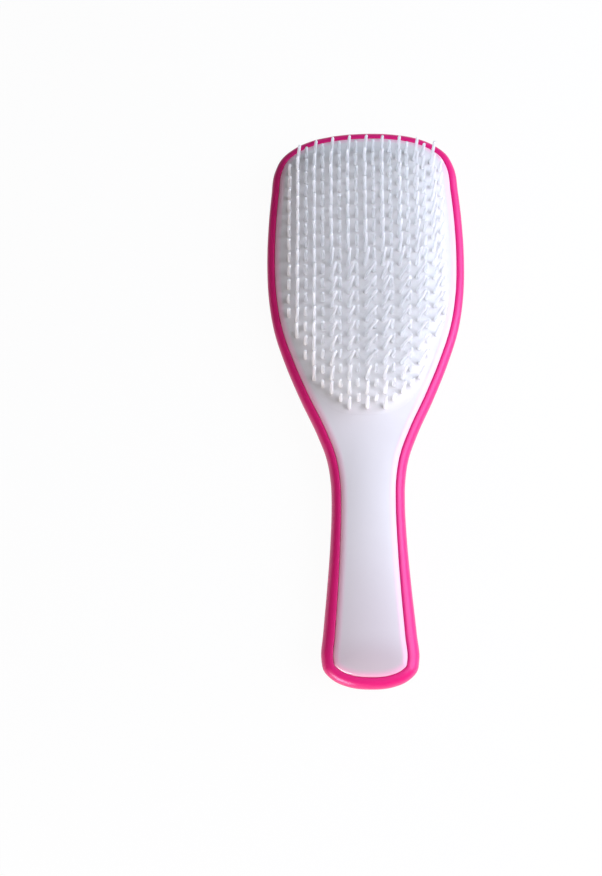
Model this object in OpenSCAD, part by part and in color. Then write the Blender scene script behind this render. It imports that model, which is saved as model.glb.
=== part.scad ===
// Two-tier detangling brush lying on its back, all lengths in millimetres.
// X runs across the brush, Y towards the tip of the head and Z the way the bristles point.
// A glossy back shell carries a white front plate, which snaps into the shell's rim.
// A soft bristle pad is moulded into a recess in the front plate.

/* [Outline] */
// Length from the tip of the head to the end of the handle
overall_len = 225; // [200:1:250]
// Width of the head at its widest
head_w = 80; // [70:1:90]
// Width of the neck at its narrowest
neck_w = 28; // [24:1:34]
// Width of the handle near its end
butt_w = 36; // [30:1:42]
// Length of the rounded crown of the head, from the tip
crown_len = 28; // [22:1:34]
// Distance from the tip of the head to its widest place
widest_d = 57; // [50:1:66]
// Distance from the tip of the head to the narrowest place of the neck
neck_d = 157; // [148:1:166]
// Distance from the widest place of the handle to its end
butt_len = 10.5; // [8:0.5:14]

/* [Back shell] */
// Wall thickness of the back shell
shell_wall = 2; // [1.6:0.1:2.6]
// Height of the head where it is widest, above the surface it lies on
head_rim_z = 7.5; // [6.5:0.5:9]
// Height of the handle where it is widest, above the surface it lies on
grip_rim_z = 8.5; // [7.5:0.5:10]
// Depth by which the dome of the back is cut flat
land_cut = 0.3; // [0.2:0.1:0.5]
// Clearance under the back of the neck
neck_lift = 1.6; // [0.5:0.1:2.5]
// Thickness of the ribs inside the shell
rib_t = 1.4; // [1:0.1:2]
// Distance between the cross ribs
rib_pitch = 22; // [16:1:30]

/* [Seam] */
// Height of the seam round the head
head_seam_z = 10; // [9.5:0.5:12]
// Height of the seam round the handle
grip_seam_z = 13; // [12:0.5:14]
// Width of the coloured band round the head
head_band = 3.3; // [2.4:0.1:4]
// Width of the coloured band at the neck
neck_band = 3.7; // [2.8:0.1:4.4]
// Width of the coloured band near the end of the handle
butt_band = 4.6; // [3:0.1:5.5]
// Depth of the seat that the front plate drops into
seat_depth = 2; // [1.6:0.1:2.4]
// Width of the ledge under the edge of the front plate
ledge_w = 1.4; // [1:0.1:1.8]
// Thickness of that ledge
ledge_t = 1.2; // [1:0.1:1.6]
// Gap between the edge of the front plate and the shell
seam_gap = 0.15; // [0.1:0.05:0.3]

/* [Front plate] */
// Thickness of the front plate
plate_t = 2.4; // [2:0.1:3]
// Width of the rounded edge of the plate
edge_w = 2; // [1.5:0.1:2.6]
// Height that the rounded edge climbs above the seam
edge_rise = 0.7; // [0.4:0.1:1.2]
// Height of the crown of the plate in the head
head_crown = 2.2; // [1:0.1:3]
// Height of the crown of the plate in the handle
grip_crown = 1.2; // [0.5:0.1:2.4]
// Width of each snap hook
hook_w = 6; // [4:0.5:9]
// Thickness of each snap hook
hook_t = 1.2; // [0.9:0.1:1.6]
// Reach of the barb under the ledge
barb_reach = 0.8; // [0.5:0.1:1.1]
// Diameter of the locating pins
pin_d = 3; // [2.4:0.1:3.6]
// Length of the locating pins below the plate
pin_len = 4; // [3:0.5:4.5]

/* [Bristle pad] */
// Thickness of the slice of backing that carries the bristles
pad_t = 1.2; // [1:0.1:1.4]
// Gap between the pad and its recess
pad_gap = 0.1; // [0.05:0.05:0.2]
// Distance from the edge of the head to the edge of the pad
pad_inset = 6; // [5.6:0.1:7]
// Distance between neighbouring columns of bristles
col_pitch = 3.42; // [3.2:0.01:3.5]
// Distance between neighbouring bristles in a column
row_pitch = 5.93; // [5.5:0.01:6.1]
// Distance from the tip of the head to the first row
first_row_d = 10.4; // [9:0.1:12]
// Depth by which the top rows bow down towards the sides of the head
row_sag = 4; // [0:0.5:5]
// Height of the short bristles above the pad
short_h = 8.5; // [7:0.5:11]
// Height of the long bristles above the pad
long_h = 16.5; // [14:0.5:20]
// Thickness of a short bristle at its root
short_root_d = 1.4; // [1.2:0.05:1.8]
// Thickness of a short bristle near its tip
short_tip_d = 1.05; // [0.8:0.05:1.2]
// Thickness of a long bristle at its root
long_root_d = 1.55; // [1.4:0.05:2]
// Thickness of a long bristle near its tip
long_tip_d = 1.15; // [0.9:0.05:1.4]
// Sideways lean of the long bristles in the lower rows
lean_reach = 3.7; // [0:0.1:4]
// Lean of the outermost left column towards the middle of the head
side_lean = 1.3; // [0:0.1:2]
// Diameter of the plugs that lock the pad to the plate
plug_d = 4; // [3:0.5:5]

/* [Hidden] */
shell_color = "#e81e79";
plate_color = "#f1ecf4";
pad_color = "#f7f4fa";
facets = 14;
curve_steps = 2;
strand_sides = 4;
overrun = 1;

// Bristle columns and rows counted on the lattice, before its corners are cut away
field_cols = 19;
field_rows = 20;

// Places where the outline bends, as shares of the named sizes
crown_shares = [[0, 0], [0.325, 0.03], [0.55, 0.1], [0.73, 0.22],
                [0.862, 0.385], [0.932, 0.6], [0.966, 1]];
side_share = 0.55;
side_width_share = 0.994;
flank_shares = [[0, 1], [0.18, 0.958], [0.305, 0.87], [0.44, 0.698], [0.59, 0.458],
                [0.73, 0.206], [0.825, 0.07], [0.92, 0.01], [1, 0]];
grip_shares = [[0.243, 0.12], [0.574, 0.48], [0.835, 0.825], [1, 1]];
butt_shares = [[0.955, 0.36], [0.76, 0.7], [0.44, 0.925], [0, 1]];

// Roundness of the back, as the exponent of a superellipse
back_power = 2.3;
dome_angles = [80, 62, 42, 20, 0];
shoulder_angles = [30, 60, 90];
inner_angles = [0, 35, 70];
cavity_angles = [70, 35, 0];
pillow_angles = [0, 30, 60];
crown_rings = [0.15, 0.45, 0.75];
floor_rings = [0.3, 0.75];

butt_d = overall_len - butt_len;
// Ends of the spine, from the tip of the head and from the end of the handle
spine_head_share = 1.2;
spine_butt_share = 0.45;
spine_head_y = station_y(crown_len * spine_head_share);
spine_butt_y = station_y(overall_len - butt_w * spine_butt_share);

// Roundings where the shell and the plate meet
lip_round_share = 0.15;
edge_drop_share = 0.12;
lip_round = seat_depth * lip_round_share;
edge_drop = seat_depth * edge_drop_share;

// Blending helpers
function mix(a, b, t) = a + (b - a) * t;
function smooth(t) = let(c = min(1, max(0, t))) c * c * (3 - 2 * c);
function station_y(d) = overall_len / 2 - d;
function station(y) = overall_len / 2 - y;
function to_grip(d) = smooth((d - widest_d) / (neck_d - widest_d));
function to_butt(d) = smooth((d - neck_d) / (butt_d - neck_d));

// Heights and band width along the brush
function rim_z(d) = mix(head_rim_z, grip_rim_z, to_grip(d));
function seam_z(d) = mix(head_seam_z, grip_seam_z, to_grip(d));
function band(d) = mix(mix(head_band, neck_band, to_grip(d)), butt_band, to_butt(d));
function ledge_z(d) = seam_z(d) - seat_depth;
function ledge_under_z(d) = ledge_z(d) - ledge_t;
function back_z(d) = mix(mix(-land_cut, neck_lift, to_grip(d)), -land_cut, to_butt(d));

// Smooth closed outline through hand-placed points, starting at the tip of the head
right_side = concat(
    [for (p = crown_shares) [p.x * head_w / 2, station_y(p.y * crown_len)]],
    [[side_width_share * head_w / 2, station_y(mix(crown_len, widest_d, side_share))]],
    [for (p = flank_shares) [mix(neck_w, head_w, p.y) / 2, station_y(mix(widest_d, neck_d, p.x))]],
    [for (p = grip_shares) [mix(neck_w, butt_w, p.y) / 2, station_y(mix(neck_d, butt_d, p.x))]],
    [for (p = butt_shares) [p.x * butt_w / 2, station_y(mix(butt_d, overall_len, p.y))]]);
bends = len(right_side);
corners = concat(right_side, [for (i = [bends - 2:-1:1]) [-right_side[i].x, right_side[i].y]]);

function at(list, i) = list[(i + len(list)) % len(list)];
function slope_at(list, i) =
    let(a = at(list, i - 1), b = at(list, i), c = at(list, i + 1))
    let(before = norm(b - a), after = norm(c - b))
    ((b - a) / before * after + (c - b) / after * before) / (before + after);
function bend_between(list, i, t) =
    let(a = at(list, i), b = at(list, i + 1), reach = norm(b - a))
    let(m = slope_at(list, i) * reach, n = slope_at(list, i + 1) * reach)
    let(u = t * t, v = t * t * t)
    a * (2 * v - 3 * u + 1) + m * (v - 2 * u + t) + b * (3 * u - 2 * v) + n * (v - u);
outline = [for (i = [0:len(corners) - 1]) for (k = [0:curve_steps - 1])
    bend_between(corners, i, k / curve_steps)];
sides = len(outline);
normals = [for (i = [0:sides - 1])
    let(t = at(outline, i + 1) - at(outline, i - 1)) [-t.y, t.x] / norm(t)];

// Point i of the outline moved inwards by a distance
function inset_point(i, inset) = outline[i] - normals[i] * inset;
function spine(y) = [0, min(spine_head_y, max(spine_butt_y, y))];
function drawn_in(p, share) = let(c = spine(p.y)) c + (p - c) * share;
function raised(p, z) = [p.x, p.y, z];

// Outer edge of the plate, its half widths along the brush, and the inner end of its rounding
function edge_inset(d) = band(d) + seam_gap;
function crown_inset(d) = edge_inset(d) + edge_w;
plate_edge = [for (i = [0:sides - 1]) inset_point(i, edge_inset(station(outline[i].y)))];
crown_edge = [for (i = [0:sides - 1]) inset_point(i, crown_inset(station(outline[i].y)))];
edge_widths = [for (i = [0:sides / 2]) [plate_edge[i].y, plate_edge[i].x]];
top_edge_y = plate_edge[0].y;
butt_edge_y = plate_edge[sides / 2].y;

// Height of the plate's face, whose crown spans the whole plate
function edge_half_width(y) = max(lookup(y, edge_widths), edge_w);
function head_fade(y) = max(0, (y - station_y(crown_len)) / (top_edge_y - station_y(crown_len)));
function butt_fade(y) = max(0, (spine_butt_y - y) / (spine_butt_y - butt_edge_y));
function crown_height(y) = mix(head_crown, grip_crown, to_grip(station(y)));
function across(p) = min(1, abs(p.x) / edge_half_width(p.y));
function along_share(y) = 1 - pow(head_fade(y), 2) - pow(butt_fade(y), 2);
function crown_share(p) = max(0, (1 - pow(across(p), 2)) * along_share(p.y));
function crown_rise(p) = crown_height(p.y) * crown_share(p);
function face_z(p) = seam_z(station(p.y)) + edge_rise + crown_rise(p);

// Rings of points round the brush: on the crown, at an inset, over the plate's edge, down a dome
function crown_ring(share, shift) = [for (p = crown_edge)
    let(q = drawn_in(p, share)) raised(q, face_z(q) + shift)];
function rim_ring(inset, height) = [for (i = [0:sides - 1])
    let(d = station(outline[i].y)) raised(inset_point(i, inset(d)), height(d))];
function edge_ring(angle) = [for (i = [0:sides - 1])
    let(d = station(outline[i].y), p = inset_point(i, edge_inset(d) + edge_w * (1 - cos(angle))))
        raised(p, mix(seam_z(d) - edge_drop, seam_z(d) + edge_rise, sin(angle)) + crown_rise(p))];
function dome_ring(angle, inset, top, bottom) =
    let(share = pow(cos(angle), 2 / back_power), drop = pow(sin(angle), 2 / back_power))
    [for (i = [0:sides - 1]) let(q = drawn_in(inset_point(i, inset), share), d = station(q.y))
        raised(q, mix(top(d), bottom(d), drop))];

// Closed skin over a stack of rings, with a flat strip along the spine at both ends
function strip_faces(a, n) = [for (i = [0:n - 1]) let(j = (i + 1) % n)
    each [[a + i, a + j, a + n + j], [a + i, a + n + j, a + n + i]]];
function lid_faces(a, n) = concat(
    [[a, a + 1, a + n - 1]],
    [for (i = [1:n / 2 - 2]) let(j = n - i)
        each [[a + i, a + i + 1, a + j - 1], [a + i, a + j - 1, a + j]]],
    [[a + n / 2 - 1, a + n / 2, a + n / 2 + 1]]);
function backwards(list) = [for (i = [len(list) - 1:-1:0]) list[i]];
function turned(faces) = [for (f = faces) [f[0], f[2], f[1]]];
module skin(rings) {
    n = len(rings[0]);
    polyhedron(
        points = [for (r = rings) each r],
        faces = concat(turned(lid_faces(0, n)),
            [for (k = [0:len(rings) - 2]) each strip_faces(k * n, n)],
            lid_faces((len(rings) - 1) * n, n)));
}

// Pieces with curved skins are joined into one closed surface
module joined() {
    resize([0, 0, 0]) children();
}

// Inside of the back shell
function inner_floor_z(d) = max(back_z(d), 0) + shell_wall;
function under_plate_z(p) = face_z(p) - plate_t;
hook_gap = seam_gap;
rib_gap = 2 * seam_gap;
rib_sink_share = 1.1;
barb_height_share = 2;
barb_lip_share = 0.25;
barb_h = barb_reach * barb_height_share;
function hook_outer(d) = band(d) + ledge_w + hook_gap;
function hook_inner(d) = hook_outer(d) + hook_t;
function hook_end_z(d) = ledge_under_z(d) - hook_gap - barb_h;

// Ribs stand across the shell, and locating pins drop into bosses on four of them
rib_start_d = crown_len * spine_head_share;
rib_count = floor((butt_d - rib_start_d) / rib_pitch) + 1;
function rib_y(k) = station_y(rib_start_d + k * rib_pitch);
head_pin_ribs = [0, 3];
head_pin_share = 0.5;
grip_pin_ribs = [rib_count - 3, rib_count - 1];
pin_places = concat(
    [for (k = head_pin_ribs) for (side = [-1, 1])
        [side * head_pin_share * edge_half_width(rib_y(k)), rib_y(k)]],
    [for (k = grip_pin_ribs) [0, rib_y(k)]]);
pin_gap = seam_gap;
boss_wall_share = 0.8;
boss_wall = shell_wall * boss_wall_share;
rib_block_h = 2 * grip_seam_z;

module upright(place, low, high, d) {
    translate([place.x, place.y, low]) cylinder(h = high - low, d = d, $fn = facets);
}

// Space between the middle of the shell's wall and the underside of the plate
module cavity() {
    skin(concat(
        [for (a = cavity_angles) dome_ring(a, shell_wall * rib_sink_share, hook_end_low, middle_floor)],
        [rim_ring(function (d) hook_inner(d) + rib_gap, hook_end_low),
         rim_ring(function (d) hook_inner(d) + 2 * rib_gap, function (d) ledge_z(d) - rib_gap)],
        [for (share = backwards(floor_rings)) crown_ring(share, -plate_t - rib_gap)]));
}
hook_end_low = function (d) hook_end_z(d) - rib_gap;
middle_floor = function (d) inner_floor_z(d) - shell_wall / 2;

module ribs() {
    translate([-rib_t / 2, station_y(overall_len), 0])
        cube([rib_t, overall_len, rib_block_h]);
    for (k = [0:rib_count - 1])
        translate([-head_w / 2, rib_y(k) - rib_t / 2, 0])
            cube([head_w, rib_t, rib_block_h]);
    for (place = pin_places)
        upright(place, 0, rib_block_h, pin_d + 2 * (pin_gap + boss_wall));
}

module shell_skin() {
    skin(concat(
        [for (a = dome_angles) dome_ring(a, 0, rim_height, back_height)],
        [for (a = shoulder_angles) rim_ring(
            function (d) (band(d) - lip_round) * (1 - cos(a)),
            function (d) mix(rim_z(d), seam_z(d), sin(a)))],
        [rim_ring(function (d) band(d), function (d) seam_z(d) - lip_round),
         rim_ring(function (d) band(d), function (d) ledge_z(d)),
         rim_ring(function (d) band(d) + ledge_w, function (d) ledge_z(d)),
         rim_ring(function (d) band(d) + ledge_w, function (d) ledge_under_z(d))],
        [for (a = inner_angles) dome_ring(a, shell_wall, ledge_underside, inner_floor)]));
}
rim_height = function (d) rim_z(d);
back_height = function (d) back_z(d);
ledge_underside = function (d) ledge_under_z(d);
inner_floor = function (d) inner_floor_z(d);

module back_shell() {
    color(shell_color)
        difference() {
            joined() {
                shell_skin();
                intersection() {
                    cavity();
                    ribs();
                }
            }
            translate([-head_w, -overall_len, -head_rim_z])
                cube([2 * head_w, 2 * overall_len, head_rim_z]);
            for (place = pin_places)
                upright(place, under_plate_z(place) - pin_len - rib_gap, under_plate_z(place) + overrun,
                    pin_d + 2 * pin_gap);
        }
}

// Front plate with its snap hooks and locating pins
hook_bends = [0, 7, 10, 12, 15, 18, bends - 1];
hook_places = concat(
    [for (k = hook_bends) k * curve_steps],
    [for (k = hook_bends) if (k > 0 && k < bends - 1) sides - k * curve_steps]);

module plate_skin() {
    skin(concat(
        [for (share = floor_rings) crown_ring(share, -plate_t)],
        [rim_ring(function (d) crown_inset(d), function (d) ledge_z(d)),
         rim_ring(function (d) edge_inset(d), function (d) ledge_z(d))],
        [for (a = pillow_angles) edge_ring(a)],
        [crown_ring(1, 0)],
        [for (share = backwards(crown_rings)) crown_ring(share, 0)]));
}

module hook(i) {
    d = station(outline[i].y);
    outward = normals[i];
    root_z = ledge_z(d) + edge_drop;
    barb_z = ledge_under_z(d) - hook_gap;
    tip = hook_outer(d) - hook_gap - barb_reach;
    translate([outline[i].x, outline[i].y, 0])
        rotate([0, 0, atan2(outward.y, outward.x)])
            translate([0, hook_w / 2, 0])
                rotate([90, 0, 0])
                    linear_extrude(hook_w)
                        polygon([[-hook_outer(d), root_z], [-hook_inner(d), root_z],
                            [-hook_inner(d), hook_end_z(d)], [-hook_outer(d), hook_end_z(d)],
                            [-tip, barb_z - barb_h * barb_lip_share], [-tip, barb_z],
                            [-hook_outer(d), barb_z]]);
}

module front_plate() {
    color(plate_color)
        union() {
            joined()
                difference() {
                    union() {
                        plate_skin();
                        for (i = hook_places)
                            hook(i);
                    }
                    pad_layer(pad_gap, pad_t + pad_gap, overrun);
                    for (place = plug_places)
                        upright(place, 0, face_z(place), plug_d + 2 * pad_gap);
                }
            for (place = pin_places)
                upright(place, under_plate_z(place) - pin_len, under_plate_z(place) + pin_root, pin_d);
        }
}
pin_root = (plate_t - pad_t) / 2;

// Bristle lattice: odd columns are short, and even ones are long and half a row lower
half_cols = (field_cols - 1) / 2;
corner_row_share = 0.8;
corner_power = 12;
low_row_share = 0.98;
low_corner_share = 0.33;
low_power = 3;
sag_power = 2.5;
sag_rows_share = 0.4;
first_row_y = station_y(first_row_d);
field_w = 2 * half_cols * col_pitch;
field_margin_share = 0.65;
field_margin = col_pitch * field_margin_share;
row_slack_share = 0.05;

// Strands stay on the pad by this share of their thickness, and move in by this share of a column
rim_share = 0.7;
pull_share = 0.6;
function is_long(c) = c % 2 == 0;
function row_place(c, k) = k + (is_long(c) ? 0.5 : 0);
function column_share(x) = abs(x) / (field_w / 2);
function first_row(x) = corner_row_share * pow(column_share(x), corner_power) - row_slack_share;
function last_row(x) =
    (field_rows - 1) * (low_row_share - low_corner_share * pow(column_share(x), low_power));
function in_rows(x, row) = row >= first_row(x) && row <= last_row(x);
function sag_share(x, row) =
    pow(column_share(x), sag_power) * max(0, 1 - row / (sag_rows_share * field_rows));
function field_point(x, row) =
    let(y = first_row_y - row * row_pitch - row_sag * sag_share(x, row))
    [sign(x) * max(min(abs(x), pad_reach(y)), abs(x) - pull_share * col_pitch), y];

// Pad outline, which follows the head and closes with a curve below the last rows
low_curve_steps = 14;
low_curve = [for (k = [0:low_curve_steps]) let(x = head_w * (k / low_curve_steps - 0.5))
    [x, first_row_y - last_row(x) * row_pitch]];
pad_widths = [for (i = [0:sides / 2]) let(p = inset_point(i, pad_inset)) [p.y, p.x]];
function pad_reach(y) = lookup(y, pad_widths) - rim_share * long_root_d;
function on_pad(p) = abs(p.x) <= pad_reach(p.y) + pad_gap;
module pad_shape(grow) {
    intersection() {
        polygon([for (i = [0:curve_steps:sides - 1]) inset_point(i, pad_inset - grow)]);
        polygon(concat(
            [for (p = low_curve) [p.x, p.y - field_margin - grow]],
            [[head_w / 2, overall_len / 2], [-head_w / 2, overall_len / 2]]));
    }
}

// Layer that follows the plate's face inside the pad's outline
module pad_layer(grow, depth, rise) {
    intersection() {
        linear_extrude(2 * long_h) pad_shape(grow);
        skin(concat(
            [for (share = floor_rings) crown_ring(share, -depth)],
            [crown_ring(1, -depth), crown_ring(1, rise)],
            [for (share = backwards(crown_rings)) crown_ring(share, rise)]));
    }
}

// One bristle: two square rings, the first inside the backing, and a point, leaning to one side
root_share = -0.04;
shoulder_share = 0.955;
module strand(h, root_d, tip_d, lean) {
    n = strand_sides;
    polyhedron(
        points = concat(
            [for (s = [root_share, shoulder_share]) for (i = [0:n - 1])
                let(r = mix(root_d, tip_d, s) / 2, a = (0.5 - i) * 360 / n)
                [lean * s + r * cos(a), r * sin(a), h * s]],
            [[lean, 0, h]]),
        faces = concat(
            [[0, 3, 2], [0, 2, 1]],
            strip_faces(0, n),
            [for (i = [0:n - 1]) [n + i, n + (i + 1) % n, 2 * n]]));
}

// Share of the full lean that a long bristle takes, by its column and its row
lean_columns = [[-6, 0], [-4, 0.48], [-2, 0.54], [0, 1], [2, 0.5], [4, 0.75], [6, 0.5], [8, 0.3]];
lean_start_share = 0.4;
lean_end_share = 0.85;
lean_fade_share = 0.07;
function lean_share(c, row) = let(rise = row / field_rows)
    lookup(c, lean_columns)
    * smooth((rise - lean_start_share) / lean_fade_share)
    * smooth((lean_end_share - rise) / lean_fade_share);

// Lean of the columns on the left side, which grows from the first upright one outwards
upright_cols = 2;
function inward_lean(c) = side_lean * max(0, -c - upright_cols) / (half_cols - upright_cols);

module bristles() {
    for (c = [-half_cols:half_cols])
        for (k = [0:field_rows - 1]) {
            row = row_place(c, k);
            x = c * col_pitch;
            p = field_point(x, row);
            if (in_rows(x, row) && on_pad(p))
                translate([p.x, p.y, face_z(p)])
                    if (is_long(c))
                        strand(long_h, long_root_d, long_tip_d,
                            lean_reach * lean_share(c, row) + inward_lean(c));
                    else
                        strand(short_h, short_root_d, short_tip_d, inward_lean(c) * short_h / long_h);
        }
}

// Plugs with wide heads hold the pad down through holes in the plate
plug_spread_share = 0.38;
plug_places = [for (k = [0:2]) for (side = [-1, 1])
    let(y = (rib_y(k) + rib_y(k + 1)) / 2) [side * plug_spread_share * edge_half_width(y), y]];
plug_head_t_share = 0.8;
plug_head_d_share = 1.5;
plug_head_t = pad_t * plug_head_t_share;
plug_head_d = plug_d * plug_head_d_share;

module plug(place) {
    seat_z = under_plate_z(place) - pad_gap;
    upright(place, seat_z - plug_head_t / 2, face_z(place) - pad_t / 2, plug_d);
    upright(place, seat_z - plug_head_t, seat_z, plug_head_d);
}

module bristle_pad() {
    color(pad_color)
        joined() {
            pad_layer(0, pad_t, 0);
            bristles();
            for (place = plug_places)
                plug(place);
        }
}

back_shell();
front_plate();
bristle_pad();
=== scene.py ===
"""Detangling brush: a glossy back shell, a white front plate and a two-tier bristle pad.

The brush lies on its back. X runs across it, +Y points to the tip of the head and +Z is the way
that the bristles point. Every length is in metres.
"""

import logging
import math
import random
from dataclasses import dataclass, field
from enum import Enum
from functools import cached_property
from typing import Callable, Iterable, Sequence, Union

import bmesh
import bpy
import numpy as np
from mathutils import Matrix, Vector
from mathutils.kdtree import KDTree


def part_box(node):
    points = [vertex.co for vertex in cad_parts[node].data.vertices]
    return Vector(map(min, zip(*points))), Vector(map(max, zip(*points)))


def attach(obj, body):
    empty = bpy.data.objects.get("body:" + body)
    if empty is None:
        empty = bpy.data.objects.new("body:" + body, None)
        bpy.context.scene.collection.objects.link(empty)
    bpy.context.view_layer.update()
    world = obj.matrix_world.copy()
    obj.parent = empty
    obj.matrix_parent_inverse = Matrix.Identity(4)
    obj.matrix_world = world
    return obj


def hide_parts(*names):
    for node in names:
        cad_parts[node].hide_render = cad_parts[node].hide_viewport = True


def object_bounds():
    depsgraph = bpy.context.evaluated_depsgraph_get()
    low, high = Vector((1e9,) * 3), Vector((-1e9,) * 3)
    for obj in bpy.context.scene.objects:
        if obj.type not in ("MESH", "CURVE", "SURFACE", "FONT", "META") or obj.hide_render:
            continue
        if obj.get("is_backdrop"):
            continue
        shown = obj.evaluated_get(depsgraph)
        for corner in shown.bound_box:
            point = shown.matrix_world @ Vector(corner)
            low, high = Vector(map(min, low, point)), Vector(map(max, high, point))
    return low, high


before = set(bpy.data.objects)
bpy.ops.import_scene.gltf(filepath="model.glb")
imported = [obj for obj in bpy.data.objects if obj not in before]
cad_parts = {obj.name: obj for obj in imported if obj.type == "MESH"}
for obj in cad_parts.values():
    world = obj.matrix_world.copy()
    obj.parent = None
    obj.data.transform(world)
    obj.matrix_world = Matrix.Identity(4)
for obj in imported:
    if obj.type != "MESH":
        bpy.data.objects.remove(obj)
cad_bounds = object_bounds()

log = logging.getLogger("detangling_brush")

MM = 0.001
Ring = list[Vector]
Rgb = tuple[float, float, float]
Rgba = tuple[float, float, float, float]
Height = Callable[[float], float]
Socket = bpy.types.NodeSocket
Given = Union[Socket, float, Sequence[float]]


def mix(a: float, b: float, t: float) -> float:
    """Returns the value a share t of the way from a to b."""
    return a + (b - a) * t


def smooth(t: float) -> float:
    """Returns an eased copy of t, kept between 0 and 1."""
    c = min(1.0, max(0.0, t))
    return c * c * (3 - 2 * c)


def spread(first: float, last: float, steps: int) -> list[float]:
    """Returns steps + 1 even values from first to last."""
    return [mix(first, last, k / steps) for k in range(steps + 1)]


@dataclass(frozen=True)
class BrushForm:
    """Outline, heights and face that all the pieces of the brush share.

    A station is the distance of a place from the tip of the head.
    """

    overall_len: float
    head_w: float
    neck_w: float = 28 * MM
    butt_w: float = 36 * MM
    crown_len: float = 28 * MM
    widest_d: float = 57 * MM
    neck_d: float = 157 * MM
    butt_len: float = 10.5 * MM
    head_rim_z: float = 7.5 * MM
    grip_rim_z: float = 8.5 * MM
    land_cut: float = 0.3 * MM
    neck_lift: float = 1.6 * MM
    head_seam_z: float = 10 * MM
    grip_seam_z: float = 13 * MM
    head_band: float = 3.3 * MM
    neck_band: float = 3.7 * MM
    butt_band: float = 4.6 * MM
    seam_gap: float = 0.05 * MM
    edge_w: float = 2 * MM
    edge_rise: float = 0.7 * MM
    head_crown: float = 2.2 * MM
    grip_crown: float = 1.2 * MM
    back_power: float = 2.3
    spine_head_share: float = 1.2
    spine_butt_share: float = 0.45
    side_share: float = 0.55
    side_width_share: float = 0.994
    curve_steps: int = 8
    crown_shares: Sequence[tuple[float, float]] = (
        (0, 0), (0.325, 0.03), (0.55, 0.1), (0.73, 0.22), (0.862, 0.385), (0.932, 0.6), (0.966, 1))
    flank_shares: Sequence[tuple[float, float]] = (
        (0, 1), (0.18, 0.958), (0.305, 0.87), (0.44, 0.698), (0.59, 0.458),
        (0.73, 0.206), (0.825, 0.07), (0.92, 0.01), (1, 0))
    grip_shares: Sequence[tuple[float, float]] = (
        (0.243, 0.12), (0.574, 0.48), (0.835, 0.825), (1, 1))
    butt_shares: Sequence[tuple[float, float]] = (
        (0.955, 0.36), (0.76, 0.7), (0.44, 0.925), (0, 1))

    @property
    def butt_d(self) -> float:
        """Station of the widest place of the handle."""
        return self.overall_len - self.butt_len

    def station(self, y: float) -> float:
        """Returns the station of a place, or the place of a station, since the two mirror."""
        return self.overall_len / 2 - y

    def to_grip(self, d: float) -> float:
        """Returns 0 in the head and 1 from the neck on."""
        return smooth((d - self.widest_d) / (self.neck_d - self.widest_d))

    def to_butt(self, d: float) -> float:
        """Returns 0 up to the neck and 1 at the end of the handle."""
        return smooth((d - self.neck_d) / (self.butt_d - self.neck_d))

    def rim_z(self, d: float) -> float:
        """Returns the height at which the brush is widest."""
        return mix(self.head_rim_z, self.grip_rim_z, self.to_grip(d))

    def seam_z(self, d: float) -> float:
        """Returns the height of the seam between the shell and the plate."""
        return mix(self.head_seam_z, self.grip_seam_z, self.to_grip(d))

    def band(self, d: float) -> float:
        """Returns the width of the coloured band that is seen from the front."""
        upper = mix(self.head_band, self.neck_band, self.to_grip(d))
        return mix(upper, self.butt_band, self.to_butt(d))

    def back_z(self, d: float) -> float:
        """Returns the lowest height of the back, before its land is cut flat."""
        head = mix(-self.land_cut, self.neck_lift, self.to_grip(d))
        return mix(head, -self.land_cut, self.to_butt(d))

    @cached_property
    def outline(self) -> Ring:
        """Closed smooth outline through the listed points, from the tip of the head."""
        side = [Vector((x * self.head_w / 2, self.station(y * self.crown_len)))
                for x, y in self.crown_shares]
        side.append(Vector((self.side_width_share * self.head_w / 2,
                            self.station(mix(self.crown_len, self.widest_d, self.side_share)))))
        side += [Vector((mix(self.neck_w, self.head_w, w) / 2,
                         self.station(mix(self.widest_d, self.neck_d, along))))
                 for along, w in self.flank_shares]
        side += [Vector((mix(self.neck_w, self.butt_w, w) / 2,
                         self.station(mix(self.neck_d, self.butt_d, along))))
                 for along, w in self.grip_shares]
        side += [Vector((x * self.butt_w / 2, self.station(mix(self.butt_d, self.overall_len, y))))
                 for x, y in self.butt_shares]
        corners = side + [Vector((-p.x, p.y)) for p in side[-2:0:-1]]
        return [self._bend(corners, i, k / self.curve_steps)
                for i in range(len(corners)) for k in range(self.curve_steps)]

    @staticmethod
    def _slope(corners: Ring, i: int) -> Vector:
        """Returns the slope of the outline at corner i, from its two neighbours."""
        a, b, c = corners[i - 1], corners[i % len(corners)], corners[(i + 1) % len(corners)]
        before, after = (b - a).length, (c - b).length
        return ((b - a) / before * after + (c - b) / after * before) / (before + after)

    def _bend(self, corners: Ring, i: int, t: float) -> Vector:
        """Returns the place a share t of the way along the curve that leaves corner i."""
        a, b = corners[i], corners[(i + 1) % len(corners)]
        reach = (b - a).length
        m, n = self._slope(corners, i) * reach, self._slope(corners, i + 1) * reach
        u, v = t * t, t * t * t
        place = a * (2 * v - 3 * u + 1) + m * (v - 2 * u + t) + b * (3 * u - 2 * v) + n * (v - u)
        limit = self.head_w / 2
        return Vector((min(limit, max(-limit, place.x)), place.y))

    @cached_property
    def outward(self) -> Ring:
        """Direction out of the brush at every point of the outline."""
        count = len(self.outline)
        steps = [self.outline[(i + 1) % count] - self.outline[i - 1] for i in range(count)]
        return [Vector((-s.y, s.x)).normalized() for s in steps]

    def inset(self, i: int, depth: float) -> Vector:
        """Returns point i of the outline moved inwards."""
        return self.outline[i] - self.outward[i] * depth

    def drawn_in(self, p: Vector, share: float) -> Vector:
        """Returns a place drawn towards the spine, on which it lands at a share of 0."""
        low = self.station(self.overall_len - self.butt_w * self.spine_butt_share)
        high = self.station(self.crown_len * self.spine_head_share)
        spine = Vector((0, min(high, max(low, p.y))))
        return spine + (p - spine) * share

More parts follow.
